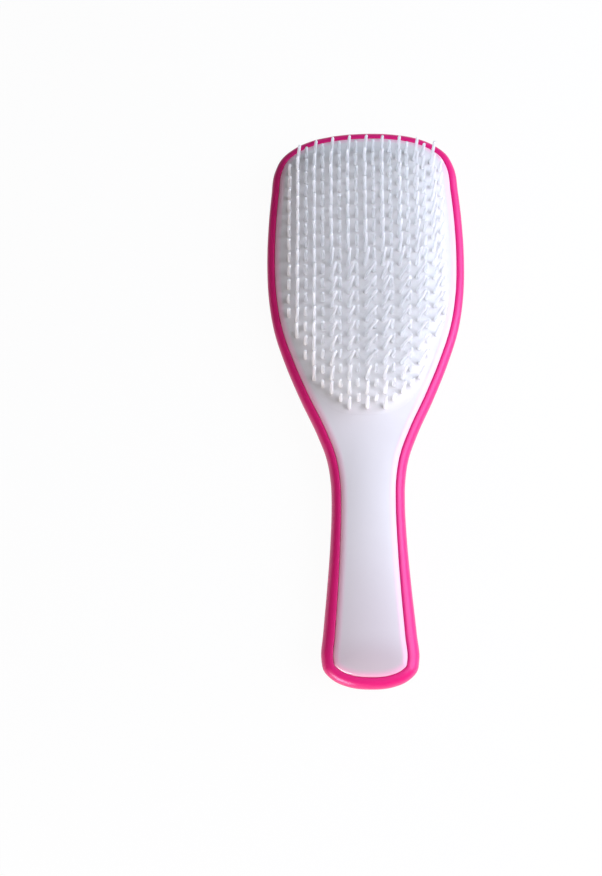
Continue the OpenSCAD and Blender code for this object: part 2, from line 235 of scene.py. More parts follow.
    @cached_property
    def plate_edge(self) -> Ring:
        """Outer edge of the front plate."""
        return [self.inset(i, self.band(self.station(p.y)) + self.seam_gap)
                for i, p in enumerate(self.outline)]

    @cached_property
    def _half_widths(self) -> tuple[list[float], list[float]]:
        """Places along the plate's edge and the half widths there, upwards from the handle."""
        side = self.plate_edge[len(self.plate_edge) // 2::-1]
        return [p.y for p in side], [p.x for p in side]

    def plate_half_w(self, y: float) -> float:
        """Returns the half width of the plate at a place along the brush."""
        return max(self.edge_w, float(np.interp(y, *self._half_widths)))

    def crown(self, p: Vector) -> float:
        """Returns how far the crown of the plate lifts its face at a place."""
        ends = self._half_widths[0]
        head_y = self.station(self.crown_len)
        butt_y = self.station(self.overall_len - self.butt_w * self.spine_butt_share)
        head_fade = max(0.0, (p.y - head_y) / (ends[-1] - head_y))
        butt_fade = max(0.0, (butt_y - p.y) / (butt_y - ends[0]))
        across = min(1.0, abs(p.x) / self.plate_half_w(p.y))
        height = mix(self.head_crown, self.grip_crown, self.to_grip(self.station(p.y)))
        return height * max(0.0, (1 - across ** 2) * (1 - head_fade ** 2 - butt_fade ** 2))

    def face_z(self, p: Vector) -> float:
        """Returns the height of the plate's face inside its rounded edge."""
        return self.seam_z(self.station(p.y)) + self.edge_rise + self.crown(p)


class RingSkin:
    """Skin that grows as one loop of edges is extruded from ring to ring."""

    MERGE_REACH = 0.002 * MM
    SLIVER_REACH = 0.001 * MM

    def __init__(self, first: Ring) -> None:
        """Starts the skin with a circle of edges laid on the first ring.

        Args:
            first: the places of the first ring, in order round the brush.
        """
        self.mesh = bmesh.new()
        self.order = self.mesh.verts.layers.int.new("order")
        circle = bmesh.ops.create_circle(self.mesh, segments=len(first), radius=self.span(first))
        for number, vert in enumerate(circle["verts"]):
            vert[self.order] = number
        self.loop = list(self.mesh.edges)
        self._lay(circle["verts"], first)

    @staticmethod
    def span(ring: Ring) -> float:
        """Returns the reach of a ring from the origin."""
        return max(p.length for p in ring)

    def _lay(self, verts: Iterable[bmesh.types.BMVert], ring: Ring) -> None:
        """Moves vertices onto the places of a ring, by their number round it."""
        for vert in verts:
            vert.co = ring[vert[self.order]]

    def extrude(self, ring: Ring) -> None:
        """Extrudes the open loop of edges onto the next ring."""
        made = bmesh.ops.extrude_edge_only(self.mesh, edges=self.loop)["geom"]
        self.loop = [item for item in made if isinstance(item, bmesh.types.BMEdge)]
        self._lay((item for item in made if isinstance(item, bmesh.types.BMVert)), ring)

    def closed(self) -> bmesh.types.BMesh:
        """Returns the mesh with its ends merged on the spine and its faces turned outwards."""
        bmesh.ops.remove_doubles(self.mesh, verts=self.mesh.verts, dist=self.MERGE_REACH)
        bmesh.ops.dissolve_degenerate(self.mesh, edges=self.mesh.edges, dist=self.SLIVER_REACH)
        bmesh.ops.recalc_face_normals(self.mesh, faces=self.mesh.faces)
        return self.mesh


def skin(rings: Sequence[Ring]) -> bmesh.types.BMesh:
    """Returns a closed skin through rings, of which the first and last lie on the spine."""
    grown = RingSkin(rings[0])
    for ring in rings[1:]:
        grown.extrude(ring)
    return grown.closed()


def as_object(name: str, mesh: bmesh.types.BMesh) -> bpy.types.Object:
    """Puts a bmesh into a new object at the origin and frees it.

    Args:
        name: the name of the piece.
        mesh: the bmesh, with its place in its vertices.

    Returns:
        The object, linked to the scene.
    """
    data = bpy.data.meshes.new(name)
    mesh.to_mesh(data)
    mesh.free()
    piece = bpy.data.objects.new(name, data)
    bpy.context.scene.collection.objects.link(piece)
    return piece


class Join(Enum):
    """How one solid changes another."""

    ADD = "UNION"
    CUT = "DIFFERENCE"


def combine(piece: bpy.types.Object, tool: bmesh.types.BMesh, join: Join) -> None:
    """Adds a solid to a piece or cuts it out of the piece, and leaves one clean mesh.

    Args:
        piece: the object that is changed.
        tool: the solid that changes it, which is used up.
        join: how the tool changes the piece.
    """
    helper = as_object(piece.name + "_tool", tool)
    change = piece.modifiers.new("join", "BOOLEAN")
    change.operation = join.value
    change.solver = "MANIFOLD"
    change.object = helper
    shaped = piece.evaluated_get(bpy.context.evaluated_depsgraph_get())
    data = bpy.data.meshes.new_from_object(shaped)
    data.materials.clear()
    piece.modifiers.clear()
    old, piece.data = piece.data, data
    bpy.data.meshes.remove(old)
    bpy.data.objects.remove(helper)


def shade(piece: bpy.types.Object, sharp_deg: float) -> None:
    """Shades a piece smooth, except where its faces meet at more than sharp_deg degrees."""
    piece.data.shade_smooth()
    piece.data.set_sharp_from_angle(angle=math.radians(sharp_deg))


def add_values(piece: bpy.types.Object, name: str, value: Callable[[Vector], float]) -> None:
    """Stores one value at each vertex, which a material reads by name.

    Args:
        piece: the object whose mesh takes the values.
        name: the name of the attribute.
        value: gives the value at a place.
    """
    layer = piece.data.attributes.new(name, "FLOAT", "POINT")
    layer.data.foreach_set("value", [value(v.co) for v in piece.data.vertices])


def nearest(ring: Ring) -> Callable[[Vector], float]:
    """Returns a function that gives how far a place is, seen from above, from a ring."""
    tree = KDTree(len(ring))
    for i, p in enumerate(ring):
        tree.insert((p.x, p.y, 0), i)
    tree.balance()
    return lambda co: tree.find((co.x, co.y, 0))[2]


class Shader:
    """Node tree with short calls to add and wire its nodes."""

    COLOR_MIX_INPUTS = (0, 6, 7)
    COLOR_MIX_OUTPUT = 2

    def __init__(self, tree: bpy.types.NodeTree) -> None:
        """Takes over an empty tree."""
        self.tree = tree

    def fill(self, sockets: Iterable[Socket], values: Iterable[Given]) -> None:
        """Wires or sets inputs, each from a socket or from a plain value."""
        for socket, value in zip(sockets, values):
            if isinstance(value, Socket):
                self.tree.links.new(value, socket)
            else:
                socket.default_value = value

    def node(self, kind: str, values: dict[str, Given] | None = None,
             **settings: object) -> bpy.types.Node:
        """Adds a node.

        Args:
            kind: the node's type, without the word that all shader nodes start with.
            values: inputs by name, each a plain value or a socket to wire from.
            **settings: the node's own properties.

        Returns:
            The new node.
        """
        made = self.tree.nodes.new(kind if kind.startswith("Node") else "ShaderNode" + kind)
        for name, value in settings.items():
            setattr(made, name, value)
        values = values or {}
        self.fill((made.inputs[name] for name in values), values.values())
        return made

    def math(self, operation: str, *values: Given, clamp: bool = False) -> Socket:
        """Returns the result of one sum on sockets or plain values."""
        made = self.node("Math", operation=operation, use_clamp=clamp)
        self.fill(made.inputs, values)
        return made.outputs[0]

    def stored(self, name: str) -> Socket:
        """Returns the value that the piece's vertices hold under a name."""
        return self.node("Attribute", attribute_name=name).outputs["Fac"]

    def blend(self, share: Given, first: Given, second: Given) -> Socket:
        """Returns the colour a share of the way from first to second."""
        made = self.node("Mix", data_type="RGBA")
        self.fill((made.inputs[i] for i in self.COLOR_MIX_INPUTS), (share, first, second))
        return made.outputs[self.COLOR_MIX_OUTPUT]

    def ramp(self, value: Socket, low: float, high: float,
             start: float = 0.0, end: float = 1.0) -> Socket:
        """Returns value moved, with an eased start and end, from low..high into start..end."""
        made = self.node("MapRange", {"Value": value, "From Min": low, "From Max": high,
                                      "To Min": start, "To Max": end},
                         interpolation_type="SMOOTHSTEP")
        return made.outputs[0]

    def sum(self, first: Socket, second: Socket, share: float = 1.0) -> Socket:
        """Returns second times share, added to first."""
        return self.math("MULTIPLY_ADD", second, share, first)


class MouldedSurface:
    """Shared surface effects of moulded plastic, as one shader node group."""

    NAME = "moulded_surface"
    INPUTS = {"Place": "NodeSocketVector", "Grain Scale": "NodeSocketFloat",
              "Dust Share": "NodeSocketFloat"}
    OUTPUTS = ("Grain", "Flow", "Dust", "Scuff")
    GRAIN_ROUGHNESS = 0.6
    FLOW_SCALE = 40.0
    FLOW_WARP = 0.8
    SPECK_SCALE = 420.0
    SCUFF_SCALE = (900.0, 60.0, 900.0)
    SCUFF_TURN = (0.0, 0.0, 0.5)
    SCUFF_RANGE = (0.66, 0.74)

    @classmethod
    def group(cls) -> bpy.types.NodeTree:
        """Returns the node group, which is built at its first use."""
        return bpy.data.node_groups.get(cls.NAME) or cls._build()

    @classmethod
    def _build(cls) -> bpy.types.NodeTree:
        """Builds the group: a fine grain, slow flow marks, specks of dust and faint scuffs."""
        tree = bpy.data.node_groups.new(cls.NAME, "ShaderNodeTree")
        for name, kind in cls.INPUTS.items():
            tree.interface.new_socket(name, in_out="INPUT", socket_type=kind)
        for name in cls.OUTPUTS:
            tree.interface.new_socket(name, in_out="OUTPUT", socket_type="NodeSocketFloat")
        shader = Shader(tree)
        given = shader.node("NodeGroupInput").outputs
        grain = shader.node("TexNoise", {"Vector": given["Place"], "Scale": given["Grain Scale"],
                                         "Detail": 3.0, "Roughness": cls.GRAIN_ROUGHNESS})
        flow = shader.node("TexNoise", {"Vector": given["Place"], "Scale": cls.FLOW_SCALE,
                                        "Detail": 2.0, "Distortion": cls.FLOW_WARP})
        specks = shader.node("TexVoronoi", {"Vector": given["Place"], "Scale": cls.SPECK_SCALE,
                                            "Randomness": 1.0})
        speck_size = shader.math("MULTIPLY", specks.outputs["Color"], given["Dust Share"])
        dust = shader.math("LESS_THAN", specks.outputs["Distance"], speck_size)
        stretched = shader.node("Mapping", {"Vector": given["Place"], "Scale": cls.SCUFF_SCALE,
                                            "Rotation": cls.SCUFF_TURN})
        lines = shader.node("TexNoise", {"Vector": stretched.outputs[0], "Scale": 1.0,
                                         "Detail": 2.0})
        scuff = shader.ramp(lines.outputs["Fac"], *cls.SCUFF_RANGE)
        taken = shader.node("NodeGroupOutput").inputs
        shader.fill((taken[name] for name in cls.OUTPUTS),
                    (grain.outputs["Fac"], flow.outputs["Fac"], dust, scuff))
        return tree


@dataclass(frozen=True)
class Finish:
    """A moulded plastic, with the colours and the gloss that one piece shows."""

    name: str
    color: Rgba
    deep_color: Rgba
    dust_color: Rgba
    roughness: float
    rough_spread: float
    coat: float
    coat_roughness: float
    grain_scale: float
    grain_depth: float
    dust_share: float
    scatter: float = 0.0
    scatter_radius: Rgb = (1.0, 1.0, 1.0)
    scatter_scale: float = 1 * MM
    gloss_tint: Rgba = (1.0, 1.0, 1.0, 1.0)
    ior: float = 1.5
    noise_range: tuple[float, float] = (0.3, 0.7)
    dust_cover: float = 0.35
    dust_rough: float = 0.25
    scuff_rough: float = 0.12
    scuffed_coat_share: float = 0.6
    grain_strength: float = 0.35

    def tint(self, shader: Shader, color: Socket) -> Socket:
        """Returns the colour as it is, for a finish that the piece's form doesn't tint."""
        return color

    def depth(self, shader: Shader) -> Given:
        """Returns the share of the light that scatters under the surface."""
        return self.scatter

    def material(self) -> bpy.types.Material:
        """Returns the material, built from the finish's values."""
        made = bpy.data.materials.new(self.name)
        made.use_nodes = True
        made.node_tree.nodes.clear()
        shader = Shader(made.node_tree)
        surface = shader.node("Group", node_tree=MouldedSurface.group())
        place = shader.node("TexCoord").outputs["Object"]
        shader.fill((surface.inputs[name] for name in MouldedSurface.INPUTS),
                    (place, self.grain_scale, self.dust_share))
        out = surface.outputs
        flow = shader.ramp(out["Flow"], *self.noise_range)
        color = self.tint(shader, shader.blend(flow, self.deep_color, self.color))
        dust = shader.ramp(out["Dust"], 0.0, 1.0, 0.0, self.dust_cover)
        color = shader.blend(dust, color, self.dust_color)
        rough = shader.ramp(out["Grain"], *self.noise_range,
                            self.roughness, self.roughness + self.rough_spread)
        rough = shader.sum(rough, out["Dust"], self.dust_rough)
        rough = shader.sum(rough, out["Scuff"], self.scuff_rough)
        coat = shader.ramp(out["Scuff"], 0.0, 1.0, self.coat, self.coat * self.scuffed_coat_share)
        bump = shader.node("Bump", {"Height": out["Grain"], "Strength": self.grain_strength,
                                    "Distance": self.grain_depth})
        body = shader.node("BsdfPrincipled", {
            "Base Color": color, "Roughness": rough, "IOR": self.ior, "Normal": bump.outputs[0],
            "Coat Weight": coat,
            "Coat Roughness": self.coat_roughness, "Subsurface Weight": self.depth(shader),
            "Specular Tint": self.gloss_tint,
            "Subsurface Radius": self.scatter_radius, "Subsurface Scale": self.scatter_scale})
        end = shader.node("OutputMaterial", {"Surface": body.outputs[0]})
        end.is_active_output = True
        return made


@dataclass(frozen=True)
class RimTintedFinish(Finish):
    """Pale plastic with a painted pink reflection of the shell along its edge and painted shade
    towards the handle's end.
    """

    # painted reflection: the pink that the shell casts onto the plate's rounded edge
    shell_reflection_color: Rgba = (1.0, 0.36, 0.6, 1.0)
    rim_share: float = 0.6
    # painted shade: a dull pinkish grey that darkens the plate towards the handle's end
    painted_shade_color: Rgba = (0.58, 0.505, 0.52, 1.0)

    def tint(self, shader: Shader, color: Socket) -> Socket:
        """Returns the colour, with painted shade towards the handle's end and a painted pink
        reflection of the shell towards the rim.
        """
        # painted shade, darker towards the handle's end
        shaded = shader.blend(shader.stored("grip_shade"), color, self.painted_shade_color)
        # painted pink reflection of the shell, strongest at the plate's edge
        rim = shader.ramp(shader.stored("rim"), 0.0, 1.0, 0.0, self.rim_share)
        return shader.blend(rim, shaded, self.shell_reflection_color)


@dataclass(frozen=True)
class TipTintedFinish(Finish):
    """Flexible plastic of a slice with bristles, which meets the plate in the plate's colour and
    grows lighter inwards: painted light that lifts the shade between the bristles.
    """

    tip_color: Rgba = (0.88, 0.90, 0.885, 1.0)
    edge_color: Rgba = (0.765, 0.75, 0.745, 1.0)
    slab_share: float = 0.37
    scatter_start: float = 0.3
    tip_start: float = 0.3
    strand_start: float = 0.04

    def tint(self, shader: Shader, color: Socket) -> Socket:
        """Returns the colour: the plate's at the edge, lighter inwards as painted light in the
        bristles' shade, and the tips' up the bristles.
        """
        slab = shader.blend(shader.stored("heart"), self.edge_color, color)
        return shader.blend(shader.ramp(shader.stored("rise"), 0.0, self.tip_start),
                            slab, self.tip_color)

    def depth(self, shader: Shader) -> Given:
        """Returns the share of the light that scatters: none at the edge, all in the bristles."""
        in_slab = self.slab_share * self.scatter
        slab = shader.ramp(shader.stored("heart"), 0.0, self.scatter_start, 0.0, in_slab)
        strand = shader.ramp(shader.stored("rise"), 0.0, self.strand_start,
                             0.0, self.scatter - in_slab)
        return shader.sum(strand, slab)


SHELL_GLOSS = Finish(
    name="shell_gloss", color=(0.735, 0.014, 0.176, 1), deep_color=(0.715, 0.012, 0.168, 1),
    dust_color=(0.85, 0.25, 0.45, 1), roughness=0.34, rough_spread=0.04, coat=0.25,
    coat_roughness=0.26, grain_scale=700, grain_depth=0.002 * MM, dust_share=0.06,
    gloss_tint=(0.9, 0.48, 1.0, 1.0))
PLATE_SATIN = RimTintedFinish(
    name="plate_satin", color=(0.765, 0.75, 0.745, 1), deep_color=(0.745, 0.73, 0.725, 1),
    dust_color=(0.62, 0.60, 0.64, 1), roughness=0.30, rough_spread=0.08, coat=0.25,
    coat_roughness=0.12, grain_scale=900, grain_depth=0.004 * MM, dust_share=0.08)
# painted light: the slab's colour is lighter than the plate's and the tips', to lift the shade
# between the bristles
BRISTLE_WHITE = TipTintedFinish(
    name="bristle_white", color=(0.98, 0.98, 0.965, 1), deep_color=(0.96, 0.96, 0.945, 1),
    dust_color=(0.62, 0.60, 0.64, 1), roughness=0.42, rough_spread=0.08, coat=0.1,
    coat_roughness=0.2, grain_scale=1100, grain_depth=0.004 * MM, dust_share=0.04,
    scatter=1.0, scatter_radius=(1.0, 1.0, 1.05), scatter_scale=5 * MM)


@dataclass
class BackShell:
    """Glossy shell that forms the back of the brush and the coloured band round its front."""

    form: BrushForm
    wall: float = 2 * MM
    seat_depth: float = 2 * MM
    ledge_w: float = 1.4 * MM
    ledge_t: float = 1.2 * MM
    lip: float = 0.35 * MM
    dome_steps: int = 14
    shoulder_steps: int = 10
    lip_steps: int = 4
    inner_steps: int = 8
    sharp_deg: float = 50

    def _rim(self, inset: Height, height: Height) -> Ring:
        """Returns a ring at an inset and a height that follow the station."""
        ring = []
        for i, p in enumerate(self.form.outline):
            d = self.form.station(p.y)
            place = self.form.inset(i, inset(d))
            ring.append(Vector((place.x, place.y, height(d))))
        return ring

    def _dome(self, angle: float, inset: float, top: Height, bottom: Height) -> Ring:
        """Returns a ring part of the way down a dome, which ends on the spine at 90 degrees."""
        power = 2 / self.form.back_power
        share = max(0.0, math.cos(angle)) ** power
        drop = math.sin(angle) ** power
        ring = []
        for i in range(len(self.form.outline)):
            place = self.form.drawn_in(self.form.inset(i, inset), share)
            d = self.form.station(place.y)
            ring.append(Vector((place.x, place.y, max(0.0, mix(top(d), bottom(d), drop)))))
        return ring

    def _ledge_z(self, d: float) -> float:
        """Returns the height of the ledge that the plate rests on."""
        return self.form.seam_z(d) - self.seat_depth

    def _under_ledge_z(self, d: float) -> float:
        """Returns the height of the underside of the ledge."""
        return self._ledge_z(d) - self.ledge_t

    def _ledge_inset(self, d: float) -> float:
        """Returns how far the ledge's free edge lies inside the outline."""
        return self.form.band(d) + self.ledge_w

    def _floor_z(self, d: float) -> float:
        """Returns the height of the inside of the back."""
        return max(self.form.back_z(d), 0.0) + self.wall

    def rings(self) -> list[Ring]:
        """Returns the rings from the back, over the lip and the ledge, to the inside floor."""
        form = self.form
        right = math.pi / 2
        rings = [self._dome(a, 0, form.rim_z, form.back_z)
                 for a in spread(right, 0, self.dome_steps)]
        for a in spread(0, right, self.shoulder_steps)[1:]:
            rings.append(self._rim(
                lambda d: (form.band(d) - self.lip) * (1 - math.cos(a)),
                lambda d: mix(form.rim_z(d), form.seam_z(d), math.sin(a))))
        for a in spread(0, right, self.lip_steps)[1:]:
            rings.append(self._rim(
                lambda d: form.band(d) - self.lip * (1 - math.sin(a)),
                lambda d: form.seam_z(d) - self.lip * (1 - math.cos(a))))
        rings.append(self._rim(form.band, self._ledge_z))
        rings.append(self._rim(self._ledge_inset, self._ledge_z))
        rings.append(self._rim(self._ledge_inset, self._under_ledge_z))
        return rings + [self._dome(a, self.wall, self._under_ledge_z, self._floor_z)
                        for a in spread(0, right, self.inner_steps)]

    def build(self) -> bpy.types.Object:
        """Builds the shell and dresses it.

        Returns:
            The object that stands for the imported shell.
        """
        piece = as_object("shell", skin(self.rings()))
        shade(piece, self.sharp_deg)
        piece.data.materials.append(SHELL_GLOSS.material())
        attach(piece, "root")
        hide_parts("back_shell")
        return piece


@dataclass
class FrontPlate:
    """White plate that closes the shell, with the recess that the bristle pad is moulded into."""

    form: BrushForm
    thickness: float = 2.4 * MM
    seat_depth: float = 2 * MM
    edge_drop: float = 0.24 * MM
    edge_steps: int = 8
    crown_shares: Sequence[float] = (
        0.94, 0.86, 0.76, 0.66, 0.56, 0.46, 0.36, 0.26, 0.16, 0.08, 0.0)
    floor_shares: Sequence[float] = (0.0, 0.25, 0.5, 0.75, 0.92)
    rim_reach: float = 3 * MM
    painted_shade_reach: float = 11 * MM
    painted_shade_share: float = 0.6
    sharp_deg: float = 40

    def _edge(self, depth: float, height: Callable[[Vector, float], float]) -> Ring:
        """Returns a ring at a depth inside the plate's edge.

        Args:
            depth: the distance from the edge of the plate.
            height: gives the height from a place and its station.
        """
        ring = []
        for i, p in enumerate(self.form.outline):
            d = self.form.station(p.y)
            place = self.form.inset(i, self.form.band(d) + self.form.seam_gap + depth)
            ring.append(Vector((place.x, place.y, height(place, d))))
        return ring

    def _drawn(self, share: float, shift: float) -> Ring:
        """Returns a ring of the crown, drawn towards the spine and shifted in height."""
        ring = []
        for p in self._edge(self.form.edge_w, lambda place, d: 0.0):
            place = self.form.drawn_in(p.xy, share)
            ring.append(Vector((place.x, place.y, self.form.face_z(place) + shift)))
        return ring

    def rings(self) -> list[Ring]:
        """Returns the rings from the underside, round the edge, to the crown."""
        form = self.form

        def seat_z(place: Vector, d: float) -> float:
            """Returns the height at which the plate sits on the shell's ledge."""
            return form.seam_z(d) - self.seat_depth

        rings = [self._drawn(share, -self.thickness) for share in self.floor_shares]
        rings += [self._edge(form.edge_w, seat_z), self._edge(0, seat_z)]
        for a in spread(0, math.pi / 2, self.edge_steps):
            rings.append(self._edge(
                form.edge_w * (1 - math.cos(a)),
                lambda place, d: form.seam_z(d) + form.crown(place)
                + mix(-self.edge_drop, form.edge_rise, math.sin(a))))
        return rings + [self._drawn(share, 0) for share in self.crown_shares]

    def _painted_shade(self, co: Vector) -> float:
        """Returns how much painted shade darkens a place, which is most at the handle's end."""
        d = self.form.station(co.y)
        end = smooth((d - self.form.butt_d) / self.painted_shade_reach + 1)
        return mix(end, self.form.to_butt(d), self.painted_shade_share)

    def build(self, recess: bmesh.types.BMesh) -> bpy.types.Object:
        """Builds the plate, cuts the pad's recess and dresses it.

        Args:
            recess: the space that the bristle pad takes up.

        Returns:
            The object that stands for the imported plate.
        """
        piece = as_object("plate", skin(self.rings()))
        combine(piece, recess, Join.CUT)
        shade(piece, self.sharp_deg)
        near = nearest(self.form.plate_edge)
        # share of the painted pink reflection of the shell, highest at the plate's edge
        add_values(piece, "rim", lambda co: max(0.0, 1 - near(co) / self.rim_reach))
        # how far the painted shade darkens each vertex, most at the handle's end
        add_values(piece, "grip_shade", self._painted_shade)
        piece.data.materials.append(PLATE_SATIN.material())
        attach(piece, "root")
        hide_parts("front_plate")
        return piece


@dataclass(frozen=True)
class Bristle:
    """One tapered bristle with a round tip, whose rings lie at shares of its height."""

    height: float
    root_d: float
    tip_d: float
    sides: int = 8
    rise_shares: Sequence[float] = (-0.03, 0.035, 0.25, 0.5, 0.75, 0.955, 0.985)
    girth_shares: Sequence[float] = (1.2, 1.0, 1.0, 1.0, 1.0, 1.0, 0.72)

    def template(self, mesh: bmesh.types.BMesh) -> list[bmesh.types.BMVert]:
        """Adds an upright bristle at the origin.

        Args:
            mesh: the bmesh that takes the bristle.

        Returns:
            Its vertices.
        """
        girths = [mix(self.root_d, self.tip_d, max(0.0, s)) / 2 * g
                  for s, g in zip(self.rise_shares, self.girth_shares)]
        base = Matrix.Translation((0, 0, self.rise_shares[0] * self.height))
        ring = bmesh.ops.create_circle(mesh, cap_ends=True, segments=self.sides,
                                       radius=girths[0], matrix=base)["verts"]
        verts = list(ring)
        edges = [e for e in mesh.edges if e.verts[0] in ring and e.verts[1] in ring]
        steps = zip(self.rise_shares, self.rise_shares[1:], girths, girths[1:])
        for low, high, before, after in steps:
            made = bmesh.ops.extrude_edge_only(mesh, edges=edges)["geom"]
            edges = [item for item in made if isinstance(item, bmesh.types.BMEdge)]
            ring = [item for item in made if isinstance(item, bmesh.types.BMVert)]
            bmesh.ops.translate(mesh, verts=ring, vec=(0, 0, (high - low) * self.height))
            bmesh.ops.scale(mesh, verts=ring, vec=(after / before, after / before, 1))
            verts += ring
        cap = bmesh.ops.contextual_create(mesh, geom=edges)["faces"]
        poked = bmesh.ops.poke(mesh, faces=cap)["verts"]
        tip = (1 - self.rise_shares[-1]) * self.height
        bmesh.ops.translate(mesh, verts=poked, vec=(0, 0, tip))
        return verts + poked


class Tier(Enum):
    """The two kinds of bristle columns, which take turns, and the row at which each starts."""

    SHORT = 0.0
    LONG = 0.5


@dataclass
class BristlePad:
    """Slice of soft backing set into the plate, with its lattice of short and long bristles."""

    form: BrushForm
    depth: float = 1.2 * MM
    gap: float = 0.02 * MM
    inset: float = 6 * MM
    col_pitch: float = 3.42 * MM
    row_pitch: float = 5.93 * MM
    first_row_d: float = 10.4 * MM
    row_sag: float = 4 * MM
    sag_power: float = 2.5
    sag_rows_share: float = 0.4
    field_cols: int = 19
    field_rows: int = 20
    first_row: float = -0.05
    first_row_drop: float = 0.8
    first_row_power: float = 12
    last_row_share: float = 0.98
    last_row_lift: float = 0.33
    last_row_power: float = 3
    lean_reach: float = 3.7 * MM
    lean_range: tuple[float, float] = (0.4, 0.85)
    lean_blend: float = 0.07
    lean_columns: Sequence[tuple[float, float]] = (
        (-6, 0), (-4, 0.48), (-2, 0.54), (0, 1), (2, 0.5), (4, 0.75), (6, 0.5), (8, 0.3))
    lean_power: float = 1.25
    side_lean: float = 1.3 * MM
    upright_cols: int = 2
    top_columns: Sequence[tuple[float, float]] = ((-8, 0.7), (-4, 1), (0, 0.7), (4, 0))
    top_lean: float = 1.1 * MM
    top_rows: float = 1.4
    wobble: float = 0.22 * MM
    seed: int = 11
    low_steps: int = 40
    spine_end: float = 20 * MM
    margin_share: float = 0.65
    rim_share: float = 0.7
    pull_share: float = 0.6
    slack: float = 0.1 * MM
    recess_rise: float = 1 * MM
    edge_fade: float = 8 * MM
    sharp_deg: float = 45
    short: Bristle = field(default_factory=lambda: Bristle(8.5 * MM, 1.55 * MM, 1.25 * MM))
    long: Bristle = field(default_factory=lambda: Bristle(16.5 * MM, 1.55 * MM, 1.15 * MM))
    layer_shares: Sequence[float] = (0.0, 0.25, 0.5, 0.75, 0.93, 1.0)

    @property
    def half_cols(self) -> int:
        """Number of columns on each side of the middle one."""
        return (self.field_cols - 1) // 2

    def _column_share(self, x: float) -> float:
        """Returns 0 on the middle column and 1 on the outermost ones."""
        return abs(x) / (self.half_cols * self.col_pitch)

    def _first_row(self, x: float) -> float:
        """Returns the first row of the lattice, which is later near the sides."""
        drop = self.first_row_drop * self._column_share(x) ** self.first_row_power
        return self.first_row + drop

    def _last_row(self, x: float) -> float:
        """Returns the last row of the lattice, which comes sooner towards the sides."""
        lift = self.last_row_lift * self._column_share(x) ** self.last_row_power
        return (self.field_rows - 1) * (self.last_row_share - lift)

    def _row_y(self, row: float) -> float:
        """Returns the place of a row along the brush, before the top rows bow down."""
        return self.form.station(self.first_row_d) - row * self.row_pitch

    @cached_property
    def _half_widths(self) -> tuple[list[float], list[float]]:
        """Places along the pad's edge and the half widths there, upwards from the handle."""
        count = len(self.form.outline)
        side = [self.form.inset(i, self.inset) for i in range(count // 2, -1, -1)]
        return [p.y for p in side], [p.x for p in side]

    def _reach(self, y: float) -> float:
        """Returns how far from the middle a bristle may stand at a place along the brush."""
        return float(np.interp(y, *self._half_widths)) - self.rim_share * self.long.root_d

    def _point(self, x: float, row: float) -> Vector:
        """Returns the root of the bristle in a column and row, moved in where the pad ends."""
        fade = max(0.0, 1 - row / (self.sag_rows_share * self.field_rows))
        y = self._row_y(row) - self.row_sag * self._column_share(x) ** self.sag_power * fade
        across = max(min(abs(x), self._reach(y)), abs(x) - self.pull_share * self.col_pitch)
        return Vector((math.copysign(across, x), y))

    def _lean(self, tier: Tier, column: int, row: float) -> float:
        """Returns how far the tip of a bristle leans to the right."""
        side = self._side_lean(column)
        if tier is Tier.SHORT:
            return side * self.short.height / self.long.height
        along = row / self.field_rows
        start, end = self.lean_range
        middle = smooth((along - start) / self.lean_blend) * smooth((end - along) / self.lean_blend)
        middle *= self.lean_reach * float(np.interp(column, *zip(*self.lean_columns)))
        top = self.top_lean * smooth(self.top_rows - row)
        top *= float(np.interp(column, *zip(*self.top_columns)))
        return middle + top + side

    def _side_lean(self, column: int) -> float:
        """Returns how far the tips of the long bristles lean in from the left side of the pad."""
        past = max(0.0, -self.upright_cols - column)
        return self.side_lean * past / (self.half_cols - self.upright_cols)

    def _edge(self, grow: float) -> Ring:
        """Returns the closed outline of the pad, larger by grow."""
        form = self.form

        def low(x: float) -> float:
            """Returns the lower end of the pad at a place across it."""
            return self._row_y(self._last_row(x)) - self.col_pitch * self.margin_share - grow

        inset = [form.inset(i, self.inset - grow) for i in range(len(form.outline))]
        half = len(inset) // 2
        right = [p for p in inset[:half] if p.x >= 0 and p.y > low(p.x)]
        reach = right[-1].x
        curve = [Vector((x, low(x))) for x in spread(reach, -reach, self.low_steps)[1:-1]]
        left = [Vector((-p.x, p.y)) for p in right[:0:-1]]
        return right + curve + left

    def layer(self, grow: float, bottom: float, top: float) -> bmesh.types.BMesh:
        """Returns a solid inside the pad's outline that follows the plate's face.

        Args:
            grow: how much larger than the pad the outline is.
            bottom: the depth of its underside below the face.
            top: the height of its upper side above the face.
        """
        edge = self._edge(grow)
        high = max(p.y for p in edge) - self.spine_end
        low = min(p.y for p in edge) + self.spine_end

        def ring(share: float, shift: float) -> Ring:
            """Returns the edge drawn in by a share, at a shift from the plate's face."""
            drawn = []
            for p in edge:
                spine = Vector((0, min(high, max(low, p.y))))
                place = spine + (p - spine) * share
                drawn.append(Vector((place.x, place.y, self.form.face_z(place) + shift)))
            return drawn

        return skin([ring(s, -bottom) for s in self.layer_shares]
                    + [ring(s, top) for s in reversed(self.layer_shares)])

    def _roots(self) -> Iterable[tuple[Tier, Vector, float]]:
        """Yields the tier, the root and the lean of every bristle."""
        for column in range(-self.half_cols, self.half_cols + 1):
            tier = Tier.LONG if column % 2 == 0 else Tier.SHORT
            x = column * self.col_pitch
            for row in (k + tier.value for k in range(self.field_rows)):
                root = self._point(x, row)
                inside = abs(root.x) <= self._reach(root.y) + self.slack
                if inside and self._first_row(x) <= row <= self._last_row(x):
                    yield tier, root, self._lean(tier, column, row)

